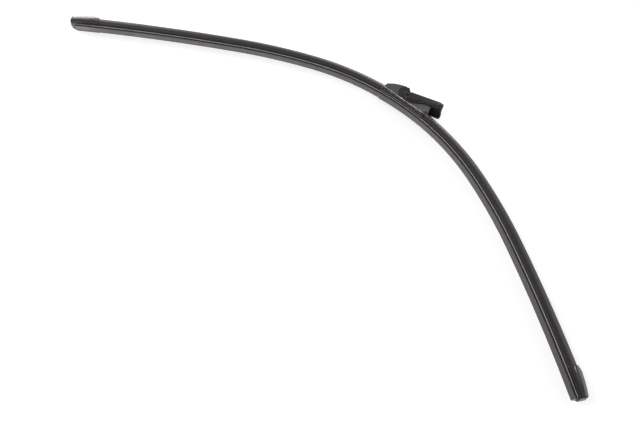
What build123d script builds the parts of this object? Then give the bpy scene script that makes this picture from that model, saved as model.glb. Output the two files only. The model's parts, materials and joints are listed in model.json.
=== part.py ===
"""Flat wiper blade with a pivoting arm adapter, lying on its side.

Frame, in millimetres: the origin is the middle of the adapter's pivot axis, +X runs along
the blade towards the arm, +Y points away from the windscreen and +Z is up, across the blade.
"""
import os
from math import asin, cos, degrees, radians, sin, sqrt

from build123d import *

os.makedirs("parts", exist_ok=True)

# Bow of the unloaded blade: arcs that flatten towards both ends
MIDDLE_RADIUS = 256.0
QUARTER_RADIUS = 530.0
END_RADIUS = 1800.0
MIDDLE_ARC = 106.0
QUARTER_ARC = 81.0
LEFT_REACH = 363.0
RIGHT_REACH = 339.0

# Clearances between pieces that are assembled once, and at seams
FIT = 0.1
SEAM = 0.15
CAP_SEAM = 0.35

# Wiper rubber, heights measured from the shoulder line
LIP_DEPTH = 5.7
LIP_EDGE_HALF = 0.35
LIP_HEEL_HALF = 2.4
HEEL_ROUND = 0.3
HEEL_DROP = 1.4
NECK_HALF = 0.6
NECK_HEIGHT = 0.8
SHOULDER_HALF = 3.0
GROOVE_HALF = 1.3
HEAD_HALF = 2.6
HEAD_BEVEL = 0.4
HEAD_THICK = 1.1
TRIM_LENGTH = 18.0
TRIM_START = 0.3
TRIM_EARLY = 7.0
TRIM_EARLY_DEPTH = 3.8

# Spring rails
RAIL_LIFT = 0.85
RAIL_WIDTH = 4.0
RAIL_THICK = 0.9
RAIL_SHORT = 4.0

# Spoiler
SKIRT_WALL = 0.7
CLAW_THICK = 0.55
CLAW_GAP = 0.4
RIDGE_RISE = 9.0
RIDGE_SIDE = 4.3
RIDGE_FLAT = 0.5
FLANK_START = 1.5
FLANK_BULGE = 0.85
RAMP_START = 2.7
RAMP_HOLLOW = 0.7
SPOILER_CORNER = 3.0

# End caps, rises measured from the spoiler's ridge
CAP_LENGTH = 28.5
CAP_WALL = 2.0
CAP_PROUD = 0.5
CAP_SEAT_RISE = 0.1
CAP_PEAK_RISE = 1.3
CAP_PEAK_AT = 6.0
CAP_MIDDLE_RISE = 0.6
LEFT_TIP_RISE = -1.0
RIGHT_TIP_RISE = -1.4
CAP_CORNER = 1.8
CAP_FAR_CORNER = 8.0
CAP_CREST = 2.4
STRIP_HEIGHT = 2.8
STRIP_SET = 0.7
GRIP_LENGTH = 14.0
GRIP_WIDTH = 2.9
GRIP_START = 4.7
GRIP_DEPTH = 0.25
GRIP_TILT = 20.0

# Connector carrier
PIVOT_SHIFT = 4.4
PIVOT_RISE = 9.9
CARRIER_FRONT = 29.5
CARRIER_REAR = 23.0
CARRIER_HALF = 8.0
CARRIER_FLOOR = 0.0
RIM_DROP = 6.5
TABLE_STEP = 1.0
RIM_BEVEL = 1.2
RIM_SET = 0.5
GROOVE_LOW = 1.5
GROOVE_WIDTH = 0.5
GROOVE_DEPTH = 0.4
CHEEK_HALF = 6.1
CHEEK_WALL = 1.8
BOSS_RADIUS = 4.0
STOP_ANGLE = 4.0
CRADLE_REACH = 26.5
CRADLE_OVERHANG = 1.9
CRADLE_BROW = 6.3
CRADLE_UNDERCUT = 3.2
CRADLE_SETBACK = 3.3

# Pivot pin
PIN_RADIUS = 2.2
PIN_HALF = 7.6
PIN_BEVEL = 0.3
PIN_RUN = 0.06

# Arm adapter
OPEN_ANGLE = 19.0
ADAPTER_REACH = 38.4
ADAPTER_HALF = 8.0
ADAPTER_WALL = 1.6
ROOF_TOP = 5.8
ROOF_THICK = 1.5
HEAD_RADIUS = 8.9
HEAD_LIFT = 2.0
HEAD_RECESS = 0.6
HEAD_RISE_ANGLE = 95.0
HEAD_FALL_ANGLE = 205.0
HUMP_FOOT = 2.1
SOLE_RADIUS = 6.1
SOLE_START_ANGLE = 236.0
HEEL_LENGTH = 5.0
SWEEP_LENGTH = 18.0
PLATE_NOSE = 3.8
PLATE_SHOULDER = 3.1
MOUTH_SILL = 2.0
MOUTH_SLOPE = 4.2
MOUTH_DROP = 1.7
MOUTH_CORNER = 1.2
MOUTH_BAND = 4.0
BAND_PROUD = 0.35
WINDOW_START = 13.0
WINDOW_LENGTH = 8.0
WINDOW_HALF = 4.0

# Nose cover
ARCH_CLEARANCE = 0.8
NOSE_HALF = 7.8
NOSE_WALL = 1.4
NOSE_ROUND = 1.7
NOSE_TIP_RISE = 5.0
NOSE_BROW_BACK = 9.2
NOSE_BROW = 6.3
NOSE_REAR = 7.0
NOSE_CREST = 10.0

RAIL_TOP = RAIL_LIFT + RAIL_THICK
RAIL_OUTER = GROOVE_HALF + FIT + RAIL_WIDTH
HEAD_TOP = RAIL_TOP + FIT + HEAD_THICK
SKIRT_HALF = RAIL_OUTER + FIT + SKIRT_WALL
CLAW_FLOOR = RAIL_LIFT - FIT - CLAW_THICK


def station(s):
    """Point on the shoulder line and tangent angle in degrees at arc length s from the middle."""
    side = 1 if s >= 0 else -1
    left = abs(s)
    x, y, angle = 0.0, 0.0, 0.0
    for radius, length in ((MIDDLE_RADIUS, MIDDLE_ARC), (QUARTER_RADIUS, QUARTER_ARC), (END_RADIUS, left)):
        run = min(left, length)
        turned = angle + run / radius
        x += radius * (sin(turned) - sin(angle))
        y -= radius * (cos(angle) - cos(turned))
        angle = turned
        left -= run
    return (PIVOT_SHIFT + side * x, y - PIVOT_RISE), -side * degrees(angle)


def cross_plane(s):
    """Plane square to the blade at s: its x runs across the blade, its y away from the glass."""
    (x, y), angle = station(s)
    along = radians(angle)
    return Plane(origin=(x, y, 0), x_dir=(0, 0, 1), z_dir=(-cos(along), -sin(along), 0))


def side_plane(s):
    """Middle plane of the blade at s: its x runs along the blade, its y away from the glass."""
    (x, y), angle = station(s)
    along = radians(angle)
    return Plane(origin=(x, y, 0), x_dir=(cos(along), sin(along), 0), z_dir=(0, 0, 1))


def backbone(start, end):
    """Tangent arcs of the shoulder line from start to end, for a line builder."""
    bend = MIDDLE_ARC + QUARTER_ARC
    inner = [s for s in (-bend, -MIDDLE_ARC, 0.0, MIDDLE_ARC, bend) if start < s < end]
    stops = [start, *inner, end]
    for a, b in zip(stops[:-1], stops[1:]):
        ThreePointArc(station(a)[0], station((a + b) / 2)[0], station(b)[0])


def rail_room(mode):
    """Inside of the claws: room for both rails, the rubber's head and its shoulders."""
    claw = SHOULDER_HALF + CLAW_GAP
    slot = RAIL_OUTER + FIT
    head = HEAD_HALF + FIT
    floor = RAIL_LIFT - FIT
    roof = RAIL_TOP + FIT
    half = [
        (claw, -HEEL_DROP),
        (claw, floor),
        (slot, floor),
        (slot, roof),
        (head, roof),
        (head, HEAD_TOP + FIT),
    ]
    with BuildLine() as room:
        Polyline(*half, *[(-z, h) for z, h in reversed(half)], close=True)
    make_face(room.edges(), mode=mode)


def polar(radius, angle, lift=0.0):
    """Point at an angle in degrees on a circle whose centre is lifted from the sketch's origin."""
    return radius * cos(radians(angle)), lift + radius * sin(radians(angle))


def corner_waste(x, y, radius, inward):
    """Outline of what comes off to round a corner at x, y; the solid lies below it and inward along x."""
    sag = radius * (1 - sqrt(0.5))
    low = (x, y - radius)
    top = (x + inward * radius, y)
    outside = x - inward * radius
    ThreePointArc(low, (x + inward * sag, y - sag), top)
    Polyline(top, (top[0], y + radius), (outside, y + radius), (outside, low[1]), low)


rubber_left = -LEFT_REACH + CAP_WALL + SEAM
rubber_right = RIGHT_REACH - CAP_WALL - SEAM

# One extrusion: lip, neck, shoulders and grooved head, with the lip trimmed round at the left end
with BuildPart() as wiper_rubber:
    with BuildLine():
        backbone(rubber_left, rubber_right)
    with BuildSketch(cross_plane(rubber_left)):
        neck_top = -HEEL_DROP + NECK_HEIGHT
        rubber_half = [
            (LIP_EDGE_HALF, -LIP_DEPTH),
            (LIP_HEEL_HALF, -HEEL_DROP - HEEL_ROUND),
            (LIP_HEEL_HALF, -HEEL_DROP),
            (NECK_HALF, -HEEL_DROP),
            (NECK_HALF, neck_top),
            (SHOULDER_HALF, neck_top),
            (SHOULDER_HALF, RAIL_LIFT - FIT),
            (GROOVE_HALF, RAIL_LIFT - FIT),
            (GROOVE_HALF, RAIL_TOP + FIT),
            (HEAD_HALF, RAIL_TOP + FIT),
            (HEAD_HALF - HEAD_BEVEL, HEAD_TOP),
        ]
        with BuildLine():
            Polyline(*rubber_half, *[(-z, h) for z, h in reversed(rubber_half)], close=True)
        make_face()
    sweep()
    trim_end = (TRIM_LENGTH, -LIP_DEPTH - TRIM_LENGTH ** 2 / (2 * END_RADIUS))
    with BuildSketch(side_plane(rubber_left)):
        with BuildLine():
            ThreePointArc((0, -TRIM_START), (TRIM_EARLY, -TRIM_EARLY_DEPTH), trim_end)
            Polyline(trim_end, (TRIM_LENGTH, -2 * LIP_DEPTH), (-SEAM, -2 * LIP_DEPTH), (-SEAM, -TRIM_START),
                     (0, -TRIM_START))
        make_face()
    extrude(amount=SKIRT_HALF, both=True, mode=Mode.SUBTRACT)
wiper_rubber.part.label = "wiper_rubber"
export_step(wiper_rubber.part, "parts/wiper_rubber.step")

# Two flat springs lie in the rubber's grooves
rail_left = rubber_left + RAIL_SHORT
rail_right = rubber_right - RAIL_SHORT
rail_middle = GROOVE_HALF + FIT + RAIL_WIDTH / 2
for label, across in (("rail_near", rail_middle), ("rail_far", -rail_middle)):
    with BuildPart() as rail:
        with BuildLine():
            backbone(rail_left, rail_right)
        with BuildSketch(cross_plane(rail_left)):
            with Locations((across, RAIL_LIFT + RAIL_THICK / 2)):
                Rectangle(RAIL_WIDTH, RAIL_THICK)
        sweep()
    rail.part.label = label
    export_step(rail.part, f"parts/{label}.step")

# Spoilers: rounded flank on the upper side, narrow ridge, long hollow ramp on the lower side
spoiler_spans = {
    "spoiler_left": (-LEFT_REACH + CAP_LENGTH + CAP_SEAM, -CARRIER_FRONT - SEAM),
    "spoiler_right": (CARRIER_REAR + SEAM, RIGHT_REACH - CAP_LENGTH - CAP_SEAM),
}
for label, (start, end) in spoiler_spans.items():
    with BuildPart() as spoiler:
        with BuildLine():
            backbone(start, end)
        with BuildSketch(cross_plane(start)):
            ramp_foot = (-SKIRT_HALF, RAMP_START)
            ramp_top = (RIDGE_SIDE - RIDGE_FLAT, RIDGE_RISE)
            flank_top = (RIDGE_SIDE, RIDGE_RISE)
            flank_foot = (SKIRT_HALF, FLANK_START)
            with BuildLine():
                Polyline(flank_foot, (SKIRT_HALF, CLAW_FLOOR), (-SKIRT_HALF, CLAW_FLOOR), ramp_foot)
                SagittaArc(ramp_foot, ramp_top, -RAMP_HOLLOW)
                Line(ramp_top, flank_top)
                SagittaArc(flank_top, flank_foot, FLANK_BULGE)
            make_face()
            rail_room(Mode.SUBTRACT)
        sweep()
        if start > 0:
            with BuildSketch(side_plane(start)):
                with BuildLine():
                    corner_waste(0, RIDGE_RISE, SPOILER_CORNER, 1)
                make_face()
            extrude(amount=CARRIER_HALF, both=True, mode=Mode.SUBTRACT)
    spoiler.part.label = label
    export_step(spoiler.part, f"parts/{label}.step")

# End caps: straight mouldings with a swollen crest, a bevelled strip and a sloped grip at the seam
cap_half = SKIRT_HALF + CAP_PROUD
cap_floor = CLAW_FLOOR - CAP_PROUD / 2
cap_peak = RIDGE_RISE + CAP_PEAK_RISE


def cap_outline(side, tip_rise, drop):
    """Side view of a cap with its crest lowered by drop, from the seam to the rounded tip."""
    seat_x = -side * CAP_LENGTH / 2
    tip_x = side * CAP_LENGTH / 2
    tip_top = RIDGE_RISE + tip_rise - drop
    peak = (seat_x + side * CAP_PEAK_AT, cap_peak - drop)
    round_start = (tip_x - side * CAP_CORNER, tip_top)
    crest = ThreePointArc(peak, (0, RIDGE_RISE + CAP_MIDDLE_RISE - drop), round_start)
    corner = TangentArc(round_start, (tip_x, tip_top - CAP_CORNER), tangent=crest % 1)
    seat_top = (seat_x, RIDGE_RISE + CAP_SEAT_RISE - drop)
    Polyline(corner @ 1, (tip_x, cap_floor), (seat_x, cap_floor), seat_top, peak)


for label, side, tip, tip_rise in (("end_cap_left", -1, -LEFT_REACH, LEFT_TIP_RISE),
                                   ("end_cap_right", 1, RIGHT_REACH, RIGHT_TIP_RISE)):
    seat = tip - side * CAP_LENGTH
    middle = (seat + tip) / 2
    cap_side = side_plane(middle)
    with BuildPart() as cap:
        with BuildSketch(cap_side.offset(-cap_half)):
            with BuildLine():
                cap_outline(side, tip_rise, 0)
            make_face()
        extrude(amount=2 * cap_half - STRIP_SET)
        with BuildSketch(cap_side.offset(cap_half - STRIP_SET)):
            with BuildLine():
                cap_outline(side, tip_rise, 0)
            make_face()
        with BuildSketch(cap_side.offset(cap_half)):
            with BuildLine():
                cap_outline(side, tip_rise, STRIP_HEIGHT)
            make_face()
        loft(ruled=True)
        crest_side = cap_half - STRIP_SET - CAP_CREST
        with BuildSketch(cross_plane(middle)):
            with BuildLine():
                Polyline((-cap_half, RAMP_START), (crest_side, cap_peak), (crest_side, 2 * cap_peak),
                         (-2 * cap_half, 2 * cap_peak), (-2 * cap_half, RAMP_START), close=True)
            make_face()
        extrude(amount=CAP_LENGTH, both=True, mode=Mode.SUBTRACT)
        with BuildSketch(Plane(origin=cap_side.origin, x_dir=cap_side.x_dir, z_dir=cap_side.y_dir)):
            with BuildLine():
                corner_waste(side * CAP_LENGTH / 2, cap_half, CAP_FAR_CORNER, -side)
            make_face()
        extrude(amount=2 * cap_peak, both=True, mode=Mode.SUBTRACT)
        grip_out = cap_side.y_dir * sin(radians(GRIP_TILT)) + Vector(0, 0, cos(radians(GRIP_TILT)))
        grip_at = cap_side.from_local_coords((-side * CAP_LENGTH / 2, GRIP_START, cap_half - GRIP_DEPTH))
        with BuildSketch(Plane(origin=grip_at, x_dir=cap_side.x_dir, z_dir=grip_out)):
            with BuildLine():
                Polyline((-side * CAP_SEAM, 0), (side * GRIP_LENGTH, 0), (-side * CAP_SEAM, GRIP_WIDTH),
                         close=True)
            make_face()
        extrude(amount=cap_half, mode=Mode.SUBTRACT)
        rail_stop = tip - side * (CAP_WALL + RAIL_SHORT)
        room_span = sorted((seat - side * CAP_SEAM, rail_stop))
        with BuildLine():
            backbone(*room_span)
        with BuildSketch(cross_plane(room_span[0])):
            rail_room(Mode.ADD)
        sweep(mode=Mode.SUBTRACT)
        with BuildSketch(cross_plane(rail_stop)):
            with Locations((0, (HEAD_TOP + FIT - HEEL_DROP) / 2)):
                Rectangle(2 * (SHOULDER_HALF + CLAW_GAP), HEAD_TOP + FIT + HEEL_DROP)
        extrude(amount=-side * RAIL_SHORT, mode=Mode.SUBTRACT)
    cap.part.label = label
    export_step(cap.part, f"parts/{label}.step")

# Carrier: follows the bow underneath, flat rim on top, cradle for the pivot in the middle
table = -RIM_DROP + TABLE_STEP
stop = radians(STOP_ANGLE)
stop_along = Vector(cos(stop), sin(stop))
stop_out = Vector(-sin(stop), cos(stop))
cradle_heel = stop_out * BOSS_RADIUS
cradle_end = stop_along * CRADLE_REACH + stop_out * BOSS_RADIUS
cradle_lip = cradle_end + Vector(CRADLE_OVERHANG, -CRADLE_BROW)
cradle_foot = cradle_lip - Vector(CRADLE_UNDERCUT, CRADLE_UNDERCUT)
cradle_corners = [(v.X, v.Y) for v in (cradle_foot, cradle_lip, cradle_end, cradle_heel)]
front_x = station(-CARRIER_FRONT)[0][0]
cradle_back = station(CARRIER_REAR)[0][0] - CRADLE_SETBACK
with BuildPart() as connector_carrier:
    with BuildLine():
        backbone(-CARRIER_FRONT, CARRIER_REAR)
    with BuildSketch(cross_plane(-CARRIER_FRONT)):
        groove_top = GROOVE_LOW + GROOVE_WIDTH
        carrier_half = [
            (CARRIER_HALF, CARRIER_FLOOR),
            (CARRIER_HALF, GROOVE_LOW),
            (CARRIER_HALF - GROOVE_DEPTH, GROOVE_LOW),
            (CARRIER_HALF - GROOVE_DEPTH, groove_top),
            (CARRIER_HALF, groove_top),
            (CARRIER_HALF, PIVOT_RISE),
        ]
        with BuildLine():
            Polyline(*carrier_half, *[(-z, h) for z, h in reversed(carrier_half)], close=True)
        make_face()
    sweep()
    split(bisect_by=Plane.XZ.offset(RIM_DROP), keep=Keep.TOP)
    with BuildSketch(Plane.YZ):
        for side in (1, -1):
            with BuildLine():
                Polyline((-RIM_DROP, side * (CARRIER_HALF - RIM_SET)),
                         (-RIM_DROP, side * (CARRIER_HALF + RIM_SET)),
                         (-RIM_DROP - 2 * RIM_BEVEL, side * (CARRIER_HALF + RIM_SET)), close=True)
            make_face()
    extrude(amount=CARRIER_FRONT, both=True, mode=Mode.SUBTRACT)
    with BuildSketch(Plane.XY):
        with BuildLine():
            Polyline((-BOSS_RADIUS, 0), (-BOSS_RADIUS, -RIM_DROP - RIM_BEVEL),
                     (cradle_back, -RIM_DROP - RIM_BEVEL), (cradle_back, table), *cradle_corners)
            RadiusArc(cradle_corners[-1], (-BOSS_RADIUS, 0), -BOSS_RADIUS)
        make_face()
    extrude(amount=CHEEK_HALF, both=True)
    pocket_floor = table + CHEEK_WALL
    with BuildSketch(Plane.XY):
        with BuildLine():
            Polyline((BOSS_RADIUS, pocket_floor), (CRADLE_REACH - 2 * CHEEK_WALL, pocket_floor),
                     (CRADLE_REACH - CHEEK_WALL, PIVOT_RISE), (BOSS_RADIUS, PIVOT_RISE), close=True)
        make_face()
    extrude(amount=CHEEK_HALF - CHEEK_WALL, both=True, mode=Mode.SUBTRACT)
    with BuildSketch(Plane.XY):
        Circle(PIN_RADIUS)
    extrude(amount=CHEEK_HALF, both=True, mode=Mode.SUBTRACT)
    with BuildLine():
        backbone(-CARRIER_FRONT - SEAM, CARRIER_REAR + SEAM)
    with BuildSketch(cross_plane(-CARRIER_FRONT - SEAM)):
        rail_room(Mode.ADD)
    sweep(mode=Mode.SUBTRACT)
connector_carrier.part.label = "connector_carrier"
export_step(connector_carrier.part, "parts/connector_carrier.step")

# Hollow hood in front of the pivot, its rear edge an arch around the adapter's head
nose_front = front_x + SEAM
nose_foot = -RIM_DROP + SEAM
nose_tip = nose_foot + NOSE_TIP_RISE
open_turn = radians(OPEN_ANGLE)
head_centre = (-HEAD_LIFT * sin(open_turn), HEAD_LIFT * cos(open_turn))


def hood_outline(foot):
    """Side view of the hood, from its foot over the blunt tip and the brow to its rear edge."""
    Polyline((-NOSE_REAR, NOSE_CREST), (-NOSE_REAR, foot), (nose_front, foot), (nose_front, nose_tip))
    ThreePointArc((nose_front, nose_tip), (nose_front + NOSE_BROW_BACK, NOSE_BROW), (-NOSE_REAR, NOSE_CREST))


def on_brow(edge):
    """Whether an edge of the hood's side runs over its tip and brow."""
    middle = edge.center()
    return middle.X < -NOSE_REAR - SEAM and middle.Y > nose_foot + SEAM


with BuildPart() as nose_cover:
    with BuildSketch(Plane.XY):
        with BuildLine():
            hood_outline(nose_foot)
        make_face()
    extrude(amount=NOSE_HALF, both=True)
    fillet(nose_cover.faces().filter_by(Axis.Z).edges().filter_by(on_brow), NOSE_ROUND)
    with BuildSketch(Plane.XY):
        with BuildLine():
            hood_outline(nose_foot - NOSE_WALL)
        make_face()
        offset(amount=-NOSE_WALL)
    extrude(amount=NOSE_HALF - NOSE_WALL, both=True, mode=Mode.SUBTRACT)
    with BuildSketch(Plane.XY):
        with Locations(head_centre):
            Circle(HEAD_RADIUS + ARCH_CLEARANCE)
    extrude(amount=NOSE_HALF, both=True, mode=Mode.SUBTRACT)
nose_cover.part.label = "nose_cover"
export_step(nose_cover.part, "parts/nose_cover.step")

with BuildPart() as pivot_pin:
    with BuildSketch(Plane.XY):
        Circle(PIN_RADIUS)
    extrude(amount=PIN_HALF, both=True)
    chamfer(pivot_pin.edges().filter_by(GeomType.CIRCLE), PIN_BEVEL)
pivot_pin.part.label = "pivot_pin"
export_step(pivot_pin.part, "parts/pivot_pin.step")

# Arm adapter: an inverted channel around the cradle, with a round head, open towards the arm
adapter_plane = Plane(origin=(0, 0, 0), x_dir=(cos(open_turn), sin(open_turn), 0), z_dir=(0, 0, 1))
roof_under = ROOF_TOP - ROOF_THICK
head_start = polar(HEAD_RADIUS, HEAD_RISE_ANGLE, HEAD_LIFT)
head_middle = polar(HEAD_RADIUS, (HEAD_RISE_ANGLE + HEAD_FALL_ANGLE) / 2, HEAD_LIFT)
head_end = polar(HEAD_RADIUS, HEAD_FALL_ANGLE, HEAD_LIFT)
sole_start = polar(SOLE_RADIUS, SOLE_START_ANGLE)
sole_end = (0, -SOLE_RADIUS)
sweep_start = (HEEL_LENGTH, -SOLE_RADIUS)
sweep_end = (HEEL_LENGTH + SWEEP_LENGTH, -MOUTH_SILL)
sweep_middle = ((sweep_start[0] + sweep_end[0]) / 2, (sweep_start[1] + sweep_end[1]) / 2)
roof_end = (ADAPTER_REACH - MOUTH_SLOPE, ROOF_TOP)


def channel_side():
    """Lower edge and mouth of the channel, from the sole to the roof's start."""
    Line(sole_end, sweep_start)
    rise = TangentArc(sweep_start, sweep_middle, tangent=(1, 0))
    TangentArc(sweep_middle, sweep_end, tangent=rise % 1)
    Polyline(sweep_end, (ADAPTER_REACH - MOUTH_CORNER, -MOUTH_SILL),
             (ADAPTER_REACH, MOUTH_CORNER - MOUTH_SILL), (ADAPTER_REACH, ROOF_TOP - MOUTH_DROP), roof_end)


with BuildPart() as arm_adapter:
    with BuildSketch(adapter_plane):
        with BuildLine():
            ThreePointArc(head_start, head_middle, head_end)
            Line(head_end, sole_start)
            ThreePointArc(sole_start, polar(SOLE_RADIUS, (SOLE_START_ANGLE + 270) / 2), sole_end)
            channel_side()
            Polyline(roof_end, (HUMP_FOOT, ROOF_TOP), head_start)
        make_face()
    extrude(amount=ADAPTER_HALF - HEAD_RECESS, both=True)
    with BuildSketch(adapter_plane):
        with BuildLine():
            channel_side()
            Polyline(roof_end, (PLATE_NOSE, ROOF_TOP), (-PLATE_NOSE, PLATE_SHOULDER), sole_end)
        make_face()
    extrude(amount=ADAPTER_HALF, both=True)
    with BuildSketch(adapter_plane):
        with Locations((ADAPTER_REACH - MOUTH_BAND, (ROOF_TOP - MOUTH_DROP - MOUTH_SILL) / 2)):
            Rectangle(MOUTH_BAND, ROOF_TOP - MOUTH_DROP + MOUTH_SILL)
    extrude(amount=ADAPTER_HALF + BAND_PROUD, both=True)
    room_radius = HEAD_RADIUS - ADAPTER_WALL
    room_front = (-room_radius, HEAD_LIFT)
    room_angle = 180 - degrees(asin((roof_under - HEAD_LIFT) / room_radius))
    room_start = polar(room_radius, room_angle, HEAD_LIFT)
    room_middle = polar(room_radius, (room_angle + 180) / 2, HEAD_LIFT)
    with BuildSketch(adapter_plane):
        with BuildLine():
            Polyline(room_front, (-room_radius, -HEAD_RADIUS), (2 * ADAPTER_REACH, -HEAD_RADIUS),
                     (2 * ADAPTER_REACH, roof_under), room_start)
            ThreePointArc(room_start, room_middle, room_front)
        make_face()
    extrude(amount=ADAPTER_HALF - ADAPTER_WALL, both=True, mode=Mode.SUBTRACT)
    with BuildSketch(adapter_plane):
        Circle(PIN_RADIUS + PIN_RUN)
    extrude(amount=2 * ADAPTER_HALF, both=True, mode=Mode.SUBTRACT)
    with BuildSketch(adapter_plane):
        with Locations((WINDOW_START + WINDOW_LENGTH / 2, ROOF_TOP)):
            Rectangle(WINDOW_LENGTH, 3 * ROOF_THICK)
    extrude(amount=WINDOW_HALF, both=True, mode=Mode.SUBTRACT)
arm_adapter.part.label = "arm_adapter"
export_step(arm_adapter.part, "parts/arm_adapter.step")
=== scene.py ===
# %% [markdown]
# The wiper blade comes in as an imported model: one mesh per piece, at its real size, already in
# place. The pieces could be modelled again here, but then the picture and the solids might differ,
# so the meshes stay as they are. This lesson gives every piece its finish, and sets up the table,
# the light and the camera. The box that is measured here sets the height of the table.

# %% Load the blade
import json
import math

import bmesh
import bpy
from mathutils import Matrix, Vector


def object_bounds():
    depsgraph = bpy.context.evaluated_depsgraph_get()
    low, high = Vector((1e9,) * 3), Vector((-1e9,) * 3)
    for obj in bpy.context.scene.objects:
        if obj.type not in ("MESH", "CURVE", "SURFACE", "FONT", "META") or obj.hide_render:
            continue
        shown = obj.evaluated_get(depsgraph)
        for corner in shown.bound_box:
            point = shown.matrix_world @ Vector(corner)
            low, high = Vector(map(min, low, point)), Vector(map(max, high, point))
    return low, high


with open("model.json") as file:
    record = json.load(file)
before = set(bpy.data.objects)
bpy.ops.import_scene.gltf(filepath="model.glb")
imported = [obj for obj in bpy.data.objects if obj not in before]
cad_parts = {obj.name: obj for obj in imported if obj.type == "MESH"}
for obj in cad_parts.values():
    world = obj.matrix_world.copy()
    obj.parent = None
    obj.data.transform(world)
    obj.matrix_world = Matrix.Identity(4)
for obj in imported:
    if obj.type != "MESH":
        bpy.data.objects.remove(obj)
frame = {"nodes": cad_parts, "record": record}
solid_box = [list(corner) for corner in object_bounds()]
scene = bpy.context.scene
print("pieces:", sorted(frame["nodes"]))
print("box from", solid_box[0], "to", solid_box[1])

# %% [markdown]
# The picture looks down on the blade from in front, near enough for the right end to look larger.
# A camera could be aimed with a Track To constraint, but a roll is easier to see in plain axes:
# a turn round the table, a height above it and a roll give three directions, and these are the
# columns of the camera's rotation.

# %% Camera
VIEW_TURN = math.radians(34.28)
VIEW_HEIGHT = math.radians(56.0)
VIEW_ROLL = math.radians(8.42)
CAMERA_PLACE = Vector((0.26973, -0.51949, 0.63483))
CAMERA_LENS = 46.87
CAMERA_SENSOR = 36.0

back = Vector((math.sin(VIEW_TURN) * math.cos(VIEW_HEIGHT),
               -math.cos(VIEW_TURN) * math.cos(VIEW_HEIGHT),
               math.sin(VIEW_HEIGHT)))
level = Vector((math.cos(VIEW_TURN), math.sin(VIEW_TURN), 0.0))
upright = back.cross(level)
right = level * math.cos(VIEW_ROLL) + upright * math.sin(VIEW_ROLL)
up = upright * math.cos(VIEW_ROLL) - level * math.sin(VIEW_ROLL)

camera = bpy.data.objects.new("camera", bpy.data.cameras.new("camera"))
scene.collection.objects.link(camera)
camera.data.sensor_width = CAMERA_SENSOR
camera.data.lens = CAMERA_LENS
camera_turn = Matrix((right, up, back)).transposed().to_4x4()
camera.matrix_world = Matrix.Translation(CAMERA_PLACE) @ camera_turn
scene.camera = camera
print("camera stands", round(CAMERA_PLACE.length, 3), "m from the pivot")

# %% [markdown]
# Materials are node trees. Every node could be added and set line by line, but that would hide what
# a cell is about. Three small helpers keep the cells that follow short: one adds a node and sets
# its values, one starts a material and hands back its tree and its Principled shader, and one tells
# rays that look at a surface from rays that only gather light.

# %% Node helpers


def add_node(tree, kind, inputs=None, **settings):
    """Adds a node; settings are its properties, inputs the values of its unlinked sockets."""
    node = tree.nodes.new(kind)
    for name, value in settings.items():
        setattr(node, name, value)
    for name, value in (inputs or {}).items():
        node.inputs[name].default_value = value
    return node


def new_material(name):
    material = bpy.data.materials.new(name)
    material.use_nodes = True
    return material, material.node_tree, material.node_tree.nodes["Principled BSDF"]


def seen_directly(tree):
    """Light Path value: 1 for rays from the camera, mirrors and glass, 0 for diffuse light."""
    path = add_node(tree, "ShaderNodeLightPath")
    mirrors = add_node(tree, "ShaderNodeMath", operation="MAXIMUM")
    tree.links.new(path.outputs["Is Camera Ray"], mirrors.inputs[0])
    tree.links.new(path.outputs["Is Glossy Ray"], mirrors.inputs[1])
    glass = add_node(tree, "ShaderNodeMath", operation="MAXIMUM")
    tree.links.new(mirrors.outputs[0], glass.inputs[0])
    tree.links.new(path.outputs["Is Transmission Ray"], glass.inputs[1])
    return glass.outputs[0]


print("helpers: a node, a material, what is seen directly")

# %% [markdown]
# The blade lies on plain white paper. Its sheet could come from the Add menu; a bmesh grid is the
# same plane without an open window. Paper alone would render as light grey, so it glows a little,
# but only for rays that look at it directly: that lifts the background to white and keeps the
# shadow, and the glow puts no light on the blade.

# %% Table
TABLE_REACH = 6.0
TABLE_TOP = solid_box[0][2]
PAPER_COLOUR = (0.5, 0.5, 0.5, 1.0)
PAPER_ROUGHNESS = 0.9
GLOW_COLOUR = (1.0, 1.0, 1.0, 1.0)
PAPER_GLOW = 0.7

sheet = bmesh.new()
bmesh.ops.create_grid(sheet, x_segments=1, y_segments=1, size=TABLE_REACH)
bmesh.ops.translate(sheet, verts=sheet.verts, vec=(0.0, 0.0, TABLE_TOP))
table_mesh = bpy.data.meshes.new("table")
sheet.to_mesh(table_mesh)
sheet.free()
table = bpy.data.objects.new("table", table_mesh)
scene.collection.objects.link(table)

paper, paper_tree, paper_shader = new_material("white_paper")
paper_shader.inputs["Base Color"].default_value = PAPER_COLOUR
paper_shader.inputs["Roughness"].default_value = PAPER_ROUGHNESS
paper_shader.inputs["Emission Color"].default_value = GLOW_COLOUR
glow = add_node(paper_tree, "ShaderNodeMath", {1: PAPER_GLOW}, operation="MULTIPLY")
paper_tree.links.new(seen_directly(paper_tree), glow.inputs[0])
paper_tree.links.new(glow.outputs[0], paper_shader.inputs["Emission Strength"])
table_mesh.materials.append(paper)
print("table top at", round(TABLE_TOP * 1000, 2), "mm")

# %% [markdown]
# Studio light for a black object is mostly about what it mirrors. A pale room all round gives the
# even base, and its ceiling is dimmer, so that faces which look straight up stay dark. A sky
# texture could do it too, but a plain fade by the height of the gaze is easier to steer.

# %% Room
ROOM_LIGHT = 0.7
CEILING_LIGHT = 0.25
CEILING_FADE = (0.35, 0.9)

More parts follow.
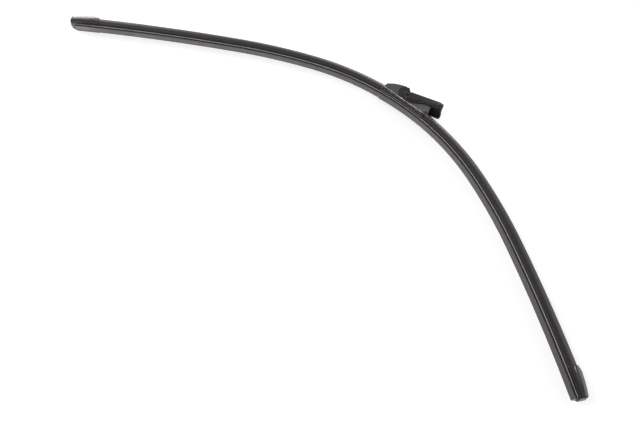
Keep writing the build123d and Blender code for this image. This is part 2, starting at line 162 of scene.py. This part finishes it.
scene.view_settings.view_transform = "Standard"
room = bpy.data.worlds.new("pale_room")
scene.world = room
room.use_nodes = True
room_tree = room.node_tree
background = room_tree.nodes["Background"]
brightness = add_node(room_tree, "ShaderNodeMath", {1: 1.0 - ROOM_LIGHT, 2: ROOM_LIGHT},
                      operation="MULTIPLY_ADD")
room_tree.links.new(seen_directly(room_tree), brightness.inputs[0])
room_tree.links.new(brightness.outputs[0], background.inputs["Strength"])
gaze = add_node(room_tree, "ShaderNodeTexCoord")
gaze_axes = add_node(room_tree, "ShaderNodeSeparateXYZ")
ceiling = add_node(room_tree, "ShaderNodeMapRange",
                   {"From Min": CEILING_FADE[0], "From Max": CEILING_FADE[1],
                    "To Min": 1.0, "To Max": CEILING_LIGHT})
room_tree.links.new(gaze.outputs["Generated"], gaze_axes.inputs[0])
room_tree.links.new(gaze_axes.outputs["Z"], ceiling.inputs["Value"])
room_tree.links.new(ceiling.outputs["Result"], background.inputs["Color"])
print("room light", ROOM_LIGHT, "and a share of", CEILING_LIGHT, "of it from straight above")

# %% [markdown]
# Four softboxes finish the light. One in front lights the rubber. The other three stand where a
# bevel mirrors them into the camera: a low one behind the blade for the ridges and the carrier's
# rim, and one at each side for the strip on its end cap. Spot lamps would leave small hard
# highlights there, and area lamps leave long soft ones.

# %% Softboxes
SOFTBOXES = {
    "softbox_front": {"place": (-0.6, -0.75, 1.15), "target": (0.0, 0.0, 0.0),
                      "size": (1.2, 0.8), "watts": 8.8},
    "softbox_low": {"place": (-0.47, 1.41, 0.2), "target": (0.0, 0.0, 0.0),
                    "size": (0.9, 0.34), "watts": 8.0},
    "softbox_left": {"place": (-1.49, 0.68, 0.4), "target": (-0.31, -0.16, 0.0),
                     "size": (0.35, 0.3), "watts": 3.6},
    "softbox_right": {"place": (0.73, 1.1, 0.72), "target": (0.3, -0.14, 0.0),
                      "size": (0.4, 0.7), "watts": 3.4},
}


def add_softbox(name, place, target, size, watts):
    lamp = bpy.data.lights.new(name, "AREA")
    lamp.shape = "RECTANGLE"
    lamp.size, lamp.size_y = size
    lamp.energy = watts
    softbox = bpy.data.objects.new(name, lamp)
    scene.collection.objects.link(softbox)
    aim = (Vector(place) - Vector(target)).to_track_quat("Z", "Y").to_matrix().to_4x4()
    softbox.matrix_world = Matrix.Translation(place) @ aim


for name, values in SOFTBOXES.items():
    add_softbox(name, **values)
    print(name, "with", values["watts"], "W")

# %% [markdown]
# Some effects come back on many pieces: a fine pattern, worn edges, dark gaps. Each material could
# build them again, but a node group is built once. What differs from piece to piece goes in through
# the group's named inputs, so every material places the group with values of its own.

# %% Node groups


def new_group(name, inputs, outputs):
    """Node group whose sockets have a name and a kind: Color, Float or Vector."""
    group = bpy.data.node_groups.new(name, "ShaderNodeTree")
    for side, sockets in (("INPUT", inputs), ("OUTPUT", outputs)):
        for socket, kind in sockets.items():
            group.interface.new_socket(name=socket, in_out=side, socket_type="NodeSocket" + kind)
    return group, add_node(group, "NodeGroupInput"), add_node(group, "NodeGroupOutput")


def mix_colours(tree, factor, first, second):
    """Mix node: the first colour where the factor is 0, the second where it is 1."""
    mix = add_node(tree, "ShaderNodeMix", data_type="RGBA")
    tree.links.new(factor, mix.inputs["Factor"])
    tree.links.new(first, mix.inputs["A"])
    tree.links.new(second, mix.inputs["B"])
    return mix.outputs["Result"]


print("helpers: a node group, a mix of two colours")

# %% [markdown]
# Rubber and spoilers are pushed through a die, which leaves fine lines along the whole strip. The
# blade bends in a flat plane and the lines keep their height above the table, so a noise that is
# stretched along X and Y and fine along Z gives them without any unwrapping. The lines vary the
# roughness, and a second, coarser noise lets the colour drift from a dark tone to a pale one.

# %% Die lines
LINE_STRETCH = 14.0
LINE_FINENESS = 2600.0
LINE_DETAIL = 3.0
DRIFT_SCALE = 110.0
DRIFT_DETAIL = 4.0
NOISE_ROUGHNESS = 0.55
SURFACE_INPUTS = {"Dark": "Color", "Pale": "Color", "Smooth": "Float", "Rough": "Float"}
SURFACE_OUTPUTS = {"Colour": "Color", "Roughness": "Float", "Pattern": "Float"}


def add_noise(tree, scale, detail):
    """Noise on Object coordinates, with its own scale along each axis."""
    place = add_node(tree, "ShaderNodeTexCoord")
    stretch = add_node(tree, "ShaderNodeMapping", {"Scale": scale})
    noise = add_node(tree, "ShaderNodeTexNoise",
                     {"Scale": 1.0, "Detail": detail, "Roughness": NOISE_ROUGHNESS})
    tree.links.new(place.outputs["Object"], stretch.inputs["Vector"])
    tree.links.new(stretch.outputs["Vector"], noise.inputs["Vector"])
    return noise.outputs["Fac"]


def surface_group(name, pattern_scale, pattern_detail, drift_scale):
    """Group for a surface with a fine pattern and a colour that drifts."""
    group, given, made = new_group(name, SURFACE_INPUTS, SURFACE_OUTPUTS)
    pattern = add_noise(group, pattern_scale, pattern_detail)
    drift = add_noise(group, (drift_scale,) * 3, DRIFT_DETAIL)
    colour = mix_colours(group, drift, given.outputs["Dark"], given.outputs["Pale"])
    gloss = add_node(group, "ShaderNodeMapRange")
    group.links.new(pattern, gloss.inputs["Value"])
    group.links.new(given.outputs["Smooth"], gloss.inputs["To Min"])
    group.links.new(given.outputs["Rough"], gloss.inputs["To Max"])
    group.links.new(colour, made.inputs["Colour"])
    group.links.new(gloss.outputs["Result"], made.inputs["Roughness"])
    group.links.new(pattern, made.inputs["Pattern"])
    return group


die_lines = surface_group(
    "die_lines", (LINE_STRETCH, LINE_STRETCH, LINE_FINENESS), LINE_DETAIL, DRIFT_SCALE)
print("die lines about", round(1000 / LINE_FINENESS, 2), "mm apart")

# %% [markdown]
# Caps, carrier, nose cover and adapter are injection moulded. Their mould was spark eroded, which
# leaves a fine even grain. A photograph of grain would need unwrapped pieces, so this is the same
# noise again, fine in all three directions. Its colour drifts on a smaller scale than on the
# strips.

# %% Moulded grain
GRAIN_FINENESS = 3200.0
GRAIN_DETAIL = 2.0
MOULDED_DRIFT_SCALE = 330.0

moulded_grain = surface_group(
    "moulded_grain", (GRAIN_FINENESS,) * 3, GRAIN_DETAIL, MOULDED_DRIFT_SCALE)
print("grain about", round(1000 / GRAIN_FINENESS, 2), "mm")

# %% [markdown]
# No real edge is knife sharp. A Bevel modifier would cut new faces; a Bevel node rounds only the
# shading normal and leaves the mesh alone. Ambient Occlusion finds the edges themselves: rays shot
# into the solid end early only near a convex edge, which gets a paler painted highlight, and rays
# shot outwards end early in gaps, which get a dark painted shade and a duller gloss. One node group
# gives all of this to every finish.

# %% Edges and gaps
EDGE_RADIUS = 0.0006
EDGE_REACH = 0.0006
EDGE_OPEN = (0.8, 0.55)
GAP_REACH = 0.0022
GAP_OPEN = (0.75, 0.3)
BEVEL_SAMPLES = 6
ROOM_SAMPLES = 12
EDGE_INPUTS = {"Colour": "Color", "Edge Colour": "Color", "Gap Colour": "Color",
               "Roughness": "Float"}
EDGE_OUTPUTS = {"Colour": "Color", "Roughness": "Float", "Normal": "Vector"}


def room_mask(tree, reach, open_share, inside):
    """Ambient Occlusion as a mask: 0 from the first open share up, 1 from the second down."""
    room_left = add_node(tree, "ShaderNodeAmbientOcclusion", {"Distance": reach},
                         inside=inside, only_local=inside, samples=ROOM_SAMPLES)
    mask = add_node(tree, "ShaderNodeMapRange",
                    {"From Min": open_share[0], "From Max": open_share[1]})
    tree.links.new(room_left.outputs["AO"], mask.inputs["Value"])
    return mask.outputs["Result"]


edges_and_gaps, given, made = new_group("edges_and_gaps", EDGE_INPUTS, EDGE_OUTPUTS)
edge_highlight_mask = room_mask(edges_and_gaps, EDGE_REACH, EDGE_OPEN, inside=True)
gap_shade_mask = room_mask(edges_and_gaps, GAP_REACH, GAP_OPEN, inside=False)
# Painted highlight on convex edges, then painted shade in gaps.
edge_highlighted = mix_colours(edges_and_gaps, edge_highlight_mask,
                   given.outputs["Colour"], given.outputs["Edge Colour"])
shaded = mix_colours(edges_and_gaps, gap_shade_mask, edge_highlighted, given.outputs["Gap Colour"])
dull = add_node(edges_and_gaps, "ShaderNodeMath", operation="MAXIMUM")
edges_and_gaps.links.new(given.outputs["Roughness"], dull.inputs[0])
edges_and_gaps.links.new(gap_shade_mask, dull.inputs[1])
rounded = add_node(edges_and_gaps, "ShaderNodeBevel", {"Radius": EDGE_RADIUS},
                   samples=BEVEL_SAMPLES)
edges_and_gaps.links.new(shaded, made.inputs["Colour"])
edges_and_gaps.links.new(dull.outputs[0], made.inputs["Roughness"])
edges_and_gaps.links.new(rounded.outputs["Normal"], made.inputs["Normal"])
print("edges rounded by", EDGE_RADIUS * 1000, "mm, gaps darkened within", GAP_REACH * 1000, "mm")

# %% [markdown]
# Every colour on the blade is a grey, a touch warm. A finish lays greys over each other like thin
# coats: two tones that drift into each other, then any layers of the piece's own, some of them
# painted light or painted shade, then painted highlights on edges and painted shade in gaps. A
# layer is a mask and a tone, so a painted highlight on a rim is one line. A painted image could do
# it too, but Mix nodes stay sharp at any distance.

# %% Coats of grey
WARMTH = (1.07, 1.0, 1.02)


def grey(tone):
    return tuple(tone * share for share in WARMTH) + (1.0,)


def lay_coats(tree, colour, layers):
    """Puts each layer's tone over the colour, as far as its mask says."""
    for mask, tone in layers:
        coat = add_node(tree, "ShaderNodeMix", {"B": grey(tone)}, data_type="RGBA")
        tree.links.new(mask(tree), coat.inputs["Factor"])
        tree.links.new(colour, coat.inputs["A"])
        colour = coat.outputs["Result"]
    return colour


print("every finish is a grey of warmth", WARMTH)

# %% [markdown]
# One recipe joins what all finishes share: the group for the surface, the layers, the group for
# edges and gaps, and the fine pattern as relief. Each piece could have a tree made by hand, but
# then a change to one would have to be made in all of them.

# %% One recipe for every finish
GLOSS_TINT = (1.0, 0.93, 0.955, 1.0)
GAP_SHARE = 0.08


def make_finish(name, pattern, tones, edge_highlight_tone, roughness, relief, shine=0.5, layers=()):
    """Material from two drifting tones, a range of roughness and a relief in metres."""
    material, tree, shader = new_material(name)
    surface = add_node(tree, "ShaderNodeGroup",
                       {"Dark": grey(tones[0]), "Pale": grey(tones[1]),
                        "Smooth": roughness[0], "Rough": roughness[1]}, node_tree=pattern)
    # Edges get a painted highlight in the edge tone, gaps a painted shade at a share of the dark
    # tone.
    edges = add_node(tree, "ShaderNodeGroup",
                     {"Edge Colour": grey(edge_highlight_tone), "Gap Colour": grey(GAP_SHARE * tones[0])},
                     node_tree=edges_and_gaps)
    bump = add_node(tree, "ShaderNodeBump", {"Strength": 1.0, "Distance": relief})
    colour = lay_coats(tree, surface.outputs["Colour"], layers)
    tree.links.new(colour, edges.inputs["Colour"])
    tree.links.new(surface.outputs["Roughness"], edges.inputs["Roughness"])
    tree.links.new(surface.outputs["Pattern"], bump.inputs["Height"])
    tree.links.new(edges.outputs["Normal"], bump.inputs["Normal"])
    tree.links.new(edges.outputs["Colour"], shader.inputs["Base Color"])
    tree.links.new(edges.outputs["Roughness"], shader.inputs["Roughness"])
    tree.links.new(bump.outputs["Normal"], shader.inputs["Normal"])
    shader.inputs["Specular IOR Level"].default_value = shine
    shader.inputs["Specular Tint"].default_value = GLOSS_TINT
    return material


def give(finish, slot):
    """Puts a finish on every piece whose record names that slot."""
    parts = frame["record"]["subparts"]
    names = [part["node"] for part in parts if part["material_slot"] == slot]
    for name in names:
        frame["nodes"][name].data.materials.clear()
        frame["nodes"][name].data.materials.append(finish)
    print(finish.name, "on", ", ".join(names))


print("recipe: coats of grey, roughness, relief")

# %% [markdown]
# Masks say where a layer goes. Texture Coordinate gives a place in the piece's own axes, a dot
# product measures it along one direction, and Map Range turns that distance into a soft border. A
# border is a pair of distances in metres: where the mask is still 0, and where it is 1. Masks could
# be painted on the vertices too, but these meshes have few of them.

# %% Masks
ALONG_Z = (0.0, 0.0, 1.0)


def along(tree, direction):
    """How far a place on the piece reaches along a direction."""
    place = add_node(tree, "ShaderNodeTexCoord")
    reach = add_node(tree, "ShaderNodeVectorMath", {1: direction}, operation="DOT_PRODUCT")
    tree.links.new(place.outputs["Object"], reach.inputs[0])
    return reach.outputs["Value"]


def height(tree):
    """Distance from the blade's middle plane, the same on both sides."""
    away = add_node(tree, "ShaderNodeMath", operation="ABSOLUTE")
    tree.links.new(along(tree, ALONG_Z), away.inputs[0])
    return away.outputs[0]


def step(tree, value, border):
    """0 where the value is at the border's first distance, 1 at its second and beyond it."""
    mask = add_node(tree, "ShaderNodeMapRange", {"From Min": border[0], "From Max": border[1]})
    tree.links.new(value, mask.inputs["Value"])
    return mask.outputs["Result"]


print("masks: place along an axis, height, soft step")

# %% [markdown]
# The rubber is graphite grey from the powder that lets it slide. Over it lie painted light on its
# left end, a painted highlight on the narrow shoulder beside the clips and on the right cut face,
# painted shade that darkens it towards the right, and black painted shade in the groove above the
# lip. A painted highlight could be a second material on its own faces, but a layer can fade within
# a face.

# %% Rubber
ALONG_X = (1.0, 0.0, 0.0)
LIP_HEEL = (0.0021, 0.0022)
SHOULDER = (0.00265, 0.0028)
LEFT_CUT = (-0.285, -0.306)
RIGHT_FADE = (0.05, 0.34)
RIGHT_CUT_FACING = (0.8, -0.61, 0.0)
RIGHT_CUT = (0.33595, 0.33605)


# Painted shade: black in the groove above the lip.
def lip_groove_shade(tree):
    return step(tree, height(tree), LIP_HEEL)


# Painted highlight on the shoulder beside the clips.
def shoulder_highlight(tree):
    return step(tree, height(tree), SHOULDER)


# Painted light on the left end of the rubber.
def left_end_light(tree):
    return step(tree, along(tree, ALONG_X), LEFT_CUT)


# Painted shade, darker towards the right.
def right_shade(tree):
    return step(tree, along(tree, ALONG_X), RIGHT_FADE)


# Painted highlight on the right cut face.
def right_cut_highlight(tree):
    return step(tree, along(tree, RIGHT_CUT_FACING), RIGHT_CUT)


rubber = make_finish(
    "graphite_rubber", die_lines, tones=(0.115, 0.225), edge_highlight_tone=0.17,
    roughness=(0.5, 0.8), relief=0.00004, shine=0.4,
    layers=[(left_end_light, 0.32), (right_shade, 0.1), (lip_groove_shade, 0.004),
            (shoulder_highlight, 0.8), (right_cut_highlight, 0.6)])
give(rubber, "rubber")

# %% [markdown]
# The spoilers are a satin black plastic, pushed through a die like the rubber. Almost all their
# light is mirrored light: the base is nearly black, and the flank brightens towards the ridge
# because a surface mirrors more where it is seen at a flat angle. A painted gradient could show
# that too, but it would stay in place when the view turns.

# %% Spoilers
spoiler = make_finish(
    "satin_spoiler", die_lines, tones=(0.009, 0.024), edge_highlight_tone=0.03,
    roughness=(0.38, 0.54), relief=0.00003, shine=0.44)
give(spoiler, "spoiler_plastic")

# %% [markdown]
# The right end cap has a finger grip that narrows towards the tip; the grip gets a painted
# highlight, and the flank beside it a faint painted sheen. A grip could be a separate material on
# its own faces, but a few straight borders say it more simply. They are measured along the cap and
# across it, and a product of their masks is 1 only where all of them are.

# %% Right end cap
RIGHT_CAP_RUN = (0.8, -0.6, 0.0)
RIGHT_CAP_RISE = (0.6, 0.8, 0.0)
ON_THE_RIGHT = (0.0, 0.1)
GRIP_FADE = (0.331, 0.314)
GRIP_BASE = (0.0612, 0.0620)
GRIP_TAPER = 0.15
GRIP_TOP = (0.111985, 0.111585)
FLANK_LOW = (0.0580, 0.0602)
FLANK_HIGH = (0.0635, 0.0612)


def where_all(tree, first, *others):
    """Product of masks."""
    for other in others:
        product = add_node(tree, "ShaderNodeMath", operation="MULTIPLY")
        tree.links.new(first, product.inputs[0])
        tree.links.new(other, product.inputs[1])
        first = product.outputs[0]
    return first


def leaning(axis, slope, run):
    """An axis that leans along a run, for a border that slopes."""
    return tuple(part + slope * lean for part, lean in zip(axis, run))


# Painted highlight on the grip's facet.
def finger_grip_highlight(tree):
    tapering = leaning(RIGHT_CAP_RISE, GRIP_TAPER, RIGHT_CAP_RUN)
    return where_all(tree,
                     step(tree, along(tree, tapering), GRIP_TOP),
                     step(tree, along(tree, RIGHT_CAP_RISE), GRIP_BASE),
                     step(tree, along(tree, RIGHT_CAP_RUN), GRIP_FADE),
                     step(tree, along(tree, ALONG_X), ON_THE_RIGHT))


# Painted sheen on the flank beside the grip.
def flank_sheen(tree):
    rise = along(tree, RIGHT_CAP_RISE)
    return where_all(tree,
                     step(tree, rise, FLANK_LOW),
                     step(tree, rise, FLANK_HIGH),
                     step(tree, along(tree, ALONG_X), ON_THE_RIGHT))


print("finger grip fades over", round((GRIP_FADE[0] - GRIP_FADE[1]) * 1000), "mm")

# %% [markdown]
# The left end cap gets a painted highlight along its top strip, which widens the lamp's highlight
# there, and a pale tone on its lower rim and inside its tip, so that the pale rubber seems to run
# on to the tip. Borders along X and Y would be shorter to write, but the cap is turned, so they are
# measured along its own axes: down towards the lip, along the cap, and up from the table.

# %% Left end cap
LEFT_CAP_DOWN = (0.6112, -0.7915, 0.0)
LEFT_CAP_RUN = (0.7915, 0.6112, 0.0)
ON_THE_LEFT = (0.0, -0.1)
RUBBER_SIDE = (0.0036, 0.0035)
LOWER_RIM = (-0.0563, -0.0562)
TIP_ROOF = (-0.0595, -0.0594)
TIP_START = (-0.345, -0.346)
TIP_END = (-0.3527, -0.3525)
STRIP_SLOPE = 0.1
STRIP_FADE = (-0.0936, -0.0958)
STRIP_TOP = (-0.0985, -0.0967)
STRIP_SIDE = (0.005, 0.0058)


# Pale tone on the lower rim, so that the rubber seems to reach the tip.
def left_rim(tree):
    return where_all(tree,
                     step(tree, along(tree, LEFT_CAP_DOWN), LOWER_RIM),
                     step(tree, along(tree, ALONG_Z), RUBBER_SIDE),
                     step(tree, along(tree, ALONG_X), ON_THE_LEFT))


def left_tip(tree):
    run = along(tree, LEFT_CAP_RUN)
    return where_all(tree,
                     step(tree, along(tree, LEFT_CAP_DOWN), TIP_ROOF),
                     step(tree, height(tree), RUBBER_SIDE),
                     step(tree, run, TIP_START),
                     step(tree, run, TIP_END))


# Painted highlight along the cap's top strip.
def left_strip_highlight(tree):
    down = along(tree, leaning(LEFT_CAP_DOWN, STRIP_SLOPE, LEFT_CAP_RUN))
    return where_all(tree,
                     step(tree, down, STRIP_FADE),
                     step(tree, down, STRIP_TOP),
                     step(tree, along(tree, ALONG_Z), STRIP_SIDE))


print("pale tip", round((TIP_START[1] - TIP_END[0]) * 1000, 1), "mm deep")

# %% [markdown]
# Both end caps are moulded smoother than the rest, so the narrow strip along their top shows a
# clear highlight. Each could have a finish of its own, but one is enough for both, because the
# masks of one cap are 0 all over the other.

# %% End caps
cap = make_finish(
    "smooth_cap", moulded_grain, tones=(0.007, 0.019), edge_highlight_tone=0.03,
    roughness=(0.2, 0.28), relief=0.00001, shine=0.5,
    layers=[(flank_sheen, 0.036), (finger_grip_highlight, 0.11), (left_rim, 0.26),
            (left_tip, 0.26), (left_strip_highlight, 0.28)])
give(cap, "cap_plastic")

# %% [markdown]
# The carrier clamps the rails. Its rim is a bevel with a painted highlight that fades before its
# right end, the cheeks below the adapter are paler, and its underside, seen from the front, has a
# fine painted highlight line and then a dark strip of painted shade beside the rubber. Each could
# be a material on faces of its own, but a layer can also end or fade in the middle of a face.

# %% Connector carrier
ALONG_Y = (0.0, 1.0, 0.0)
RIM_HEIGHT = (0.0073, 0.0074)
RIM_LEVEL = (-0.0079, -0.0077)
RIM_END = (0.0255, 0.0220)
CHEEK_HEIGHT = (0.0066, 0.0064)
CHEEK_LEVEL = (-0.0069, -0.0067)
UNDERSIDE = (-0.0078, -0.0082)
LINE_HEIGHT = (0.0056, 0.0055)
GAP_HEIGHT = (0.0050, 0.0049)


# Painted highlight on the rim's bevel.
def rim_highlight(tree):
    return where_all(tree,
                     step(tree, height(tree), RIM_HEIGHT),
                     step(tree, along(tree, ALONG_Y), RIM_LEVEL),
                     step(tree, along(tree, ALONG_X), RIM_END))


def pale_cheek(tree):
    return where_all(tree,
                     step(tree, height(tree), CHEEK_HEIGHT),
                     step(tree, along(tree, ALONG_Y), CHEEK_LEVEL))


# Painted highlight: a fine line on the underside.
def fine_highlight_line(tree):
    return where_all(tree,
                     step(tree, height(tree), LINE_HEIGHT),
                     step(tree, along(tree, ALONG_Y), UNDERSIDE))


# Painted shade: a dark strip beside the rubber.
def gap_shade_strip(tree):
    return where_all(tree,
                     step(tree, height(tree), GAP_HEIGHT),
                     step(tree, along(tree, ALONG_Y), UNDERSIDE))


carrier = make_finish(
    "moulded_carrier", moulded_grain, tones=(0.008, 0.017), edge_highlight_tone=0.1,
    roughness=(0.3, 0.42), relief=0.00002, shine=0.3,
    layers=[(pale_cheek, 0.135), (rim_highlight, 0.27), (fine_highlight_line, 0.36), (gap_shade_strip, 0.001)])
give(carrier, "carrier_plastic")

# %% [markdown]
# The nose cover is a separate moulding in a paler grey with a fine matt grain; the rim of its arch
# is rounded, catches the light and gets a painted highlight. That rim could be a layer with its own
# mask, but the edge mask that all finishes share already finds it and paints it.

# %% Nose cover
nose = make_finish(
    "matt_nose", moulded_grain, tones=(0.05, 0.075), edge_highlight_tone=0.2,
    roughness=(0.4, 0.6), relief=0.000025, shine=0.4)
give(nose, "nose_plastic")

# %% [markdown]
# The adapter takes the arm. It is a dark moulding, a glass filled plastic with a dull skin. Its
# upper part and its mouth get painted light, and its lower edge gets black painted shade. The
# adapter stands open in its mesh, so these masks are measured along its own turned axes. Masks
# along X and Y could do it too, but their borders would cut across it at a slant.

# %% Arm adapter
OPEN_ANGLE = math.radians(19.0)
ADAPTER_RUN = (math.cos(OPEN_ANGLE), math.sin(OPEN_ANGLE), 0.0)
ADAPTER_RISE = (-math.sin(OPEN_ANGLE), math.cos(OPEN_ANGLE), 0.0)
LIT_RUN = (0.004, 0.03)
LIT_RISE = (-0.003, 0.003)
BLACK_EDGE = (-0.002, -0.005)
EDGE_SLOPE = -0.13


# Painted light on the upper part and the mouth.
def upper_painted_light(tree):
    return where_all(tree,
                     step(tree, along(tree, ADAPTER_RUN), LIT_RUN),
                     step(tree, along(tree, ADAPTER_RISE), LIT_RISE))


# Painted shade along the lower edge.
def lower_edge_shade(tree):
    return step(tree, along(tree, leaning(ADAPTER_RISE, EDGE_SLOPE, ADAPTER_RUN)), BLACK_EDGE)


adapter = make_finish(
    "dull_adapter", moulded_grain, tones=(0.016, 0.032), edge_highlight_tone=0.2,
    roughness=(0.38, 0.6), relief=0.000025, shine=0.16,
    layers=[(upper_painted_light, 0.055), (lower_edge_shade, 0.004)])
give(adapter, "adapter_plastic")

# %% [markdown]
# The adapter turns on a steel pin, and the pin's end shows in the adapter's wall. Bare steel would
# be a metal, but this pin is blackened, so a dark coat does for it, with a painted highlight on its
# edge.

# %% Pivot pin
pin = make_finish(
    "blackened_pin", moulded_grain, tones=(0.01, 0.015), edge_highlight_tone=0.3,
    roughness=(0.35, 0.5), relief=0.00001, shine=0.3)
give(pin, "pin_steel")

# %% [markdown]
# Inside, out of sight, two spring steel rails keep the bow. Rolling leaves fine lines along them,
# so they take the die lines too. A Glossy shader could make the metal, but Principled does it with
# one value, Metallic.

# %% Rails
rails = make_finish(
    "rolled_steel", die_lines, tones=(0.5, 0.58), edge_highlight_tone=0.62,
    roughness=(0.25, 0.4), relief=0.00001)
rails.node_tree.nodes["Principled BSDF"].inputs["Metallic"].default_value = 1.0
give(rails, "spring_steel")
